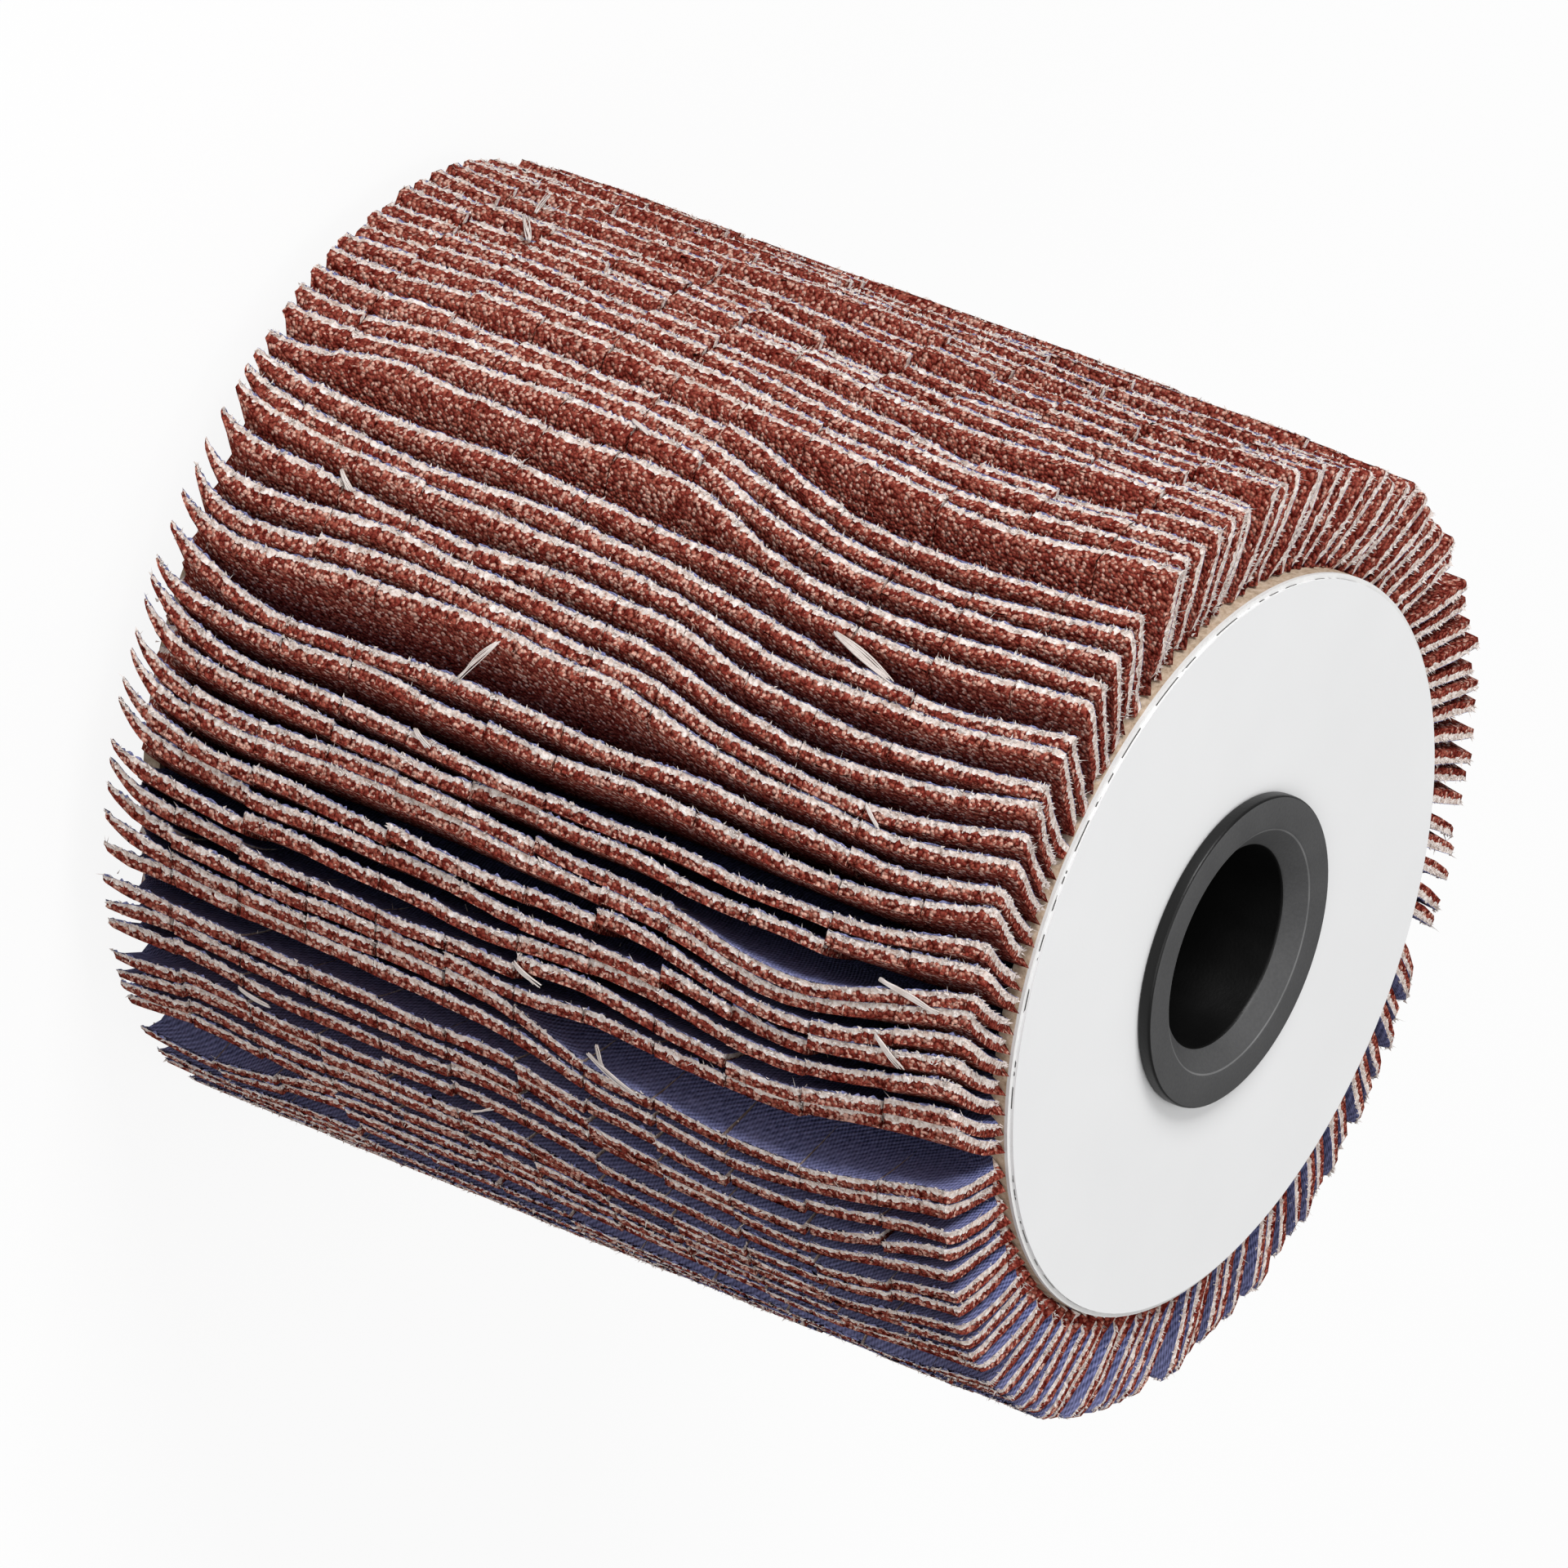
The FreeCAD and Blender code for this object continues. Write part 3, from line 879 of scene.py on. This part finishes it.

# %% [markdown]
# ## Bushes
# Each bush is a flanged sleeve moulded in black plastic. Its face and the flare of its mouth are painted grey,
# partly as washer wear and partly as painted light, with a painted highlight line where the flare starts, while
# the wall and the bore are painted near black as painted shade. Its section is drawn as seven points, spun once
# round the arbor, and the edges that show are rounded with Bevel.

# %% The plastic's finish
bore_radius = 6.35
mouth_flare = 1.35
mouth_depth = 1.1
flange_thickness = 0.9
bush_wall = 1.25
edge_rounding = 0.2
flange_radius = box_mm("front_bush")[1].x
rear_face_z = box_mm("rear_bush")[0].z
front_face_z = box_mm("front_bush")[1].z

plastic = Finish("bush_plastic", Specular_IOR_Level=0.3)
plastic_spot = plastic.place()
skin = plastic.noise(plastic_spot, 5.0, detail=3.0)
haze = plastic.noise(plastic_spot, 0.4, detail=2.0)
aside_x = plastic.axis(plastic_spot, 0)
aside_y = plastic.axis(plastic_spot, 1)
bush_height = plastic.axis(plastic_spot, 2)
out_squared = aside_x * aside_x + aside_y * aside_y
inside_wall = out_squared < (flange_radius - edge_rounding * 0.6) ** 2
near_face = (bush_height > (front_face_z - mouth_depth)) + (bush_height < (rear_face_z + mouth_depth))
# The face and the mouth's flare, which are painted grey for wear and as painted light
rubbed_and_lit_face = inside_wall * near_face
grey = plastic.mix(skin * 0.6 + haze * 0.4, (0.034, 0.034, 0.035), (0.080, 0.080, 0.081))
mouth_radius = bore_radius + mouth_flare
# Painted highlight: a paler line where the mouth's flare starts
mouth_edge_highlight = (out_squared > (mouth_radius - 0.09) ** 2) * (out_squared < (mouth_radius + 0.01) ** 2)
grey = plastic.mix(mouth_edge_highlight * (haze * 0.8 + 0.1), grey, (0.190, 0.190, 0.190))
# The near black on the wall and the bore is painted shade; the grey face is wear and painted light
plastic.feed("Base Color", plastic.mix(rubbed_and_lit_face, (0.0025, 0.0025, 0.0025), grey))
plastic.feed("Roughness", rubbed_and_lit_face * 0.15 + haze * 0.2 + 0.3)
plastic.raised(skin, 0.012)

# %% Spin a bush
def make_bush(node, inward):
    """A bush with its outer face at the end of its solid. Inward is 1 at the rear and -1 at the front."""
    low, high = box_mm(node)
    face_z = low.z if inward > 0 else high.z
    length = high.z - low.z
    flange_radius = high.x
    sleeve_radius = bore_radius + bush_wall
    section = [
        (flange_radius, 0), (bore_radius + mouth_flare, 0), (bore_radius, mouth_depth), (bore_radius, length),
        (sleeve_radius, length), (sleeve_radius, flange_thickness), (flange_radius, flange_thickness)]
    bush = bmesh.new()
    points = [bush.verts.new((radius * MM, 0, (face_z + inward * down) * MM)) for radius, down in section]
    outline = [bush.edges.new((points[k], points[(k + 1) % len(points)])) for k in range(len(points))]
    bmesh.ops.spin(bush, geom=points + outline, cent=(0, 0, 0), axis=(0, 0, 1), angle=2 * math.pi,
                   steps=96, use_merge=True)
    bmesh.ops.remove_doubles(bush, verts=bush.verts[:], dist=1e-6)
    bmesh.ops.recalc_face_normals(bush, faces=bush.faces[:])
    rounded = []
    for edge in bush.edges:
        a, b = (v.co for v in edge.verts)
        level = abs(a.z - b.z) < 1e-6 and abs(a.xy.length - b.xy.length) < 1e-6
        down = abs(a.z / MM - face_z)
        radius = a.xy.length / MM
        shows = down < mouth_depth + 0.01 and radius > bore_radius - 0.01
        if level and shows and abs(radius - sleeve_radius) > 0.01:
            rounded.append(edge)
    bmesh.ops.bevel(bush, geom=rounded, offset=edge_rounding * MM, affect="EDGES", segments=3, profile=0.5,
                    material=-1)
    for face in bush.faces:
        face.smooth = True
    for edge in bush.edges:
        if len(edge.link_faces) == 2 and edge.calc_face_angle(0) > math.radians(35):
            edge.smooth = False
    mesh = bpy.data.meshes.new(node + "_moulding")
    bush.to_mesh(mesh)
    bush.free()
    mesh.materials.append(plastic.material)
    piece = bpy.data.objects.new(node + "_moulding", mesh)
    bpy.context.scene.collection.objects.link(piece)
    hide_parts(node)
    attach(piece, "root")
    print(node, len(mesh.polygons), "faces")


make_bush("rear_bush", 1)
make_bush("front_bush", -1)

# %% [markdown]
# ## Floor and light
# The wheel stands on a plain pale floor. In the camera's eye the floor is mostly its own white, so that it
# reads as a studio sheet, and the rest of it is an ordinary matt surface that takes the wheel's shadow.

# %% Lay the floor
floor_half = 6.0
floor_mesh = bmesh.new()
bmesh.ops.create_grid(floor_mesh, x_segments=1, y_segments=1, size=floor_half)
floor_data = bpy.data.meshes.new("floor")
floor_mesh.to_mesh(floor_data)
floor_mesh.free()
floor = bpy.data.objects.new("floor", floor_data)
bpy.context.scene.collection.objects.link(floor)

sheet_white = Finish("studio_floor", Roughness=1.0, Specular_IOR_Level=0.0)
sheet_white.shader.inputs["Base Color"].default_value = (0.8, 0.8, 0.8, 1.0)
ray = sheet_white.node("ShaderNodeLightPath", output="Is Camera Ray")
glossy = sheet_white.node("ShaderNodeLightPath", output="Is Glossy Ray")
through = sheet_white.node("ShaderNodeLightPath", output="Is Transmission Ray")
seen = (ray + glossy + through).clamped() * 0.9
glow = sheet_white.node("ShaderNodeEmission", None, {"Color": (1.0, 1.0, 1.0, 1.0), "Strength": 1.0})
surface = sheet_white.tree.nodes["Material Output"].inputs["Surface"]
lit = Value(sheet_white, sheet_white.shader.outputs[0])
blend = sheet_white.node("ShaderNodeMixShader", None, {0: seen, 1: lit, 2: glow})
sheet_white.tree.links.new(blend.socket, surface)
floor_data.materials.append(sheet_white.material)

# %% Hang the lamps
def hang_lamp(name, place, size, watts):
    """A square soft lamp that points at the middle of the wheel."""
    data = bpy.data.lights.new(name, "AREA")
    data.shape = "SQUARE"
    data.size = size
    data.energy = watts
    lamp = bpy.data.objects.new(name, data)
    bpy.context.scene.collection.objects.link(lamp)
    lamp.location = place
    lamp.rotation_euler = (middle - Vector(place)).to_track_quat("-Z", "Y").to_euler()


hang_lamp("key", (-0.75, -0.70, 0.55), 0.45, 11.5)
hang_lamp("fill", (0.35, -0.80, 0.70), 0.80, 4.2)
hang_lamp("top", (-0.10, 0.10, 1.10), 0.70, 3.2)

world = bpy.data.worlds.new("studio")
world.use_nodes = True
world.node_tree.nodes["Background"].inputs["Color"].default_value = (1.0, 1.0, 1.0, 1.0)
world.node_tree.nodes["Background"].inputs["Strength"].default_value = 0.32
bpy.context.scene.world = world
bpy.context.scene.view_settings.view_transform = "Standard"
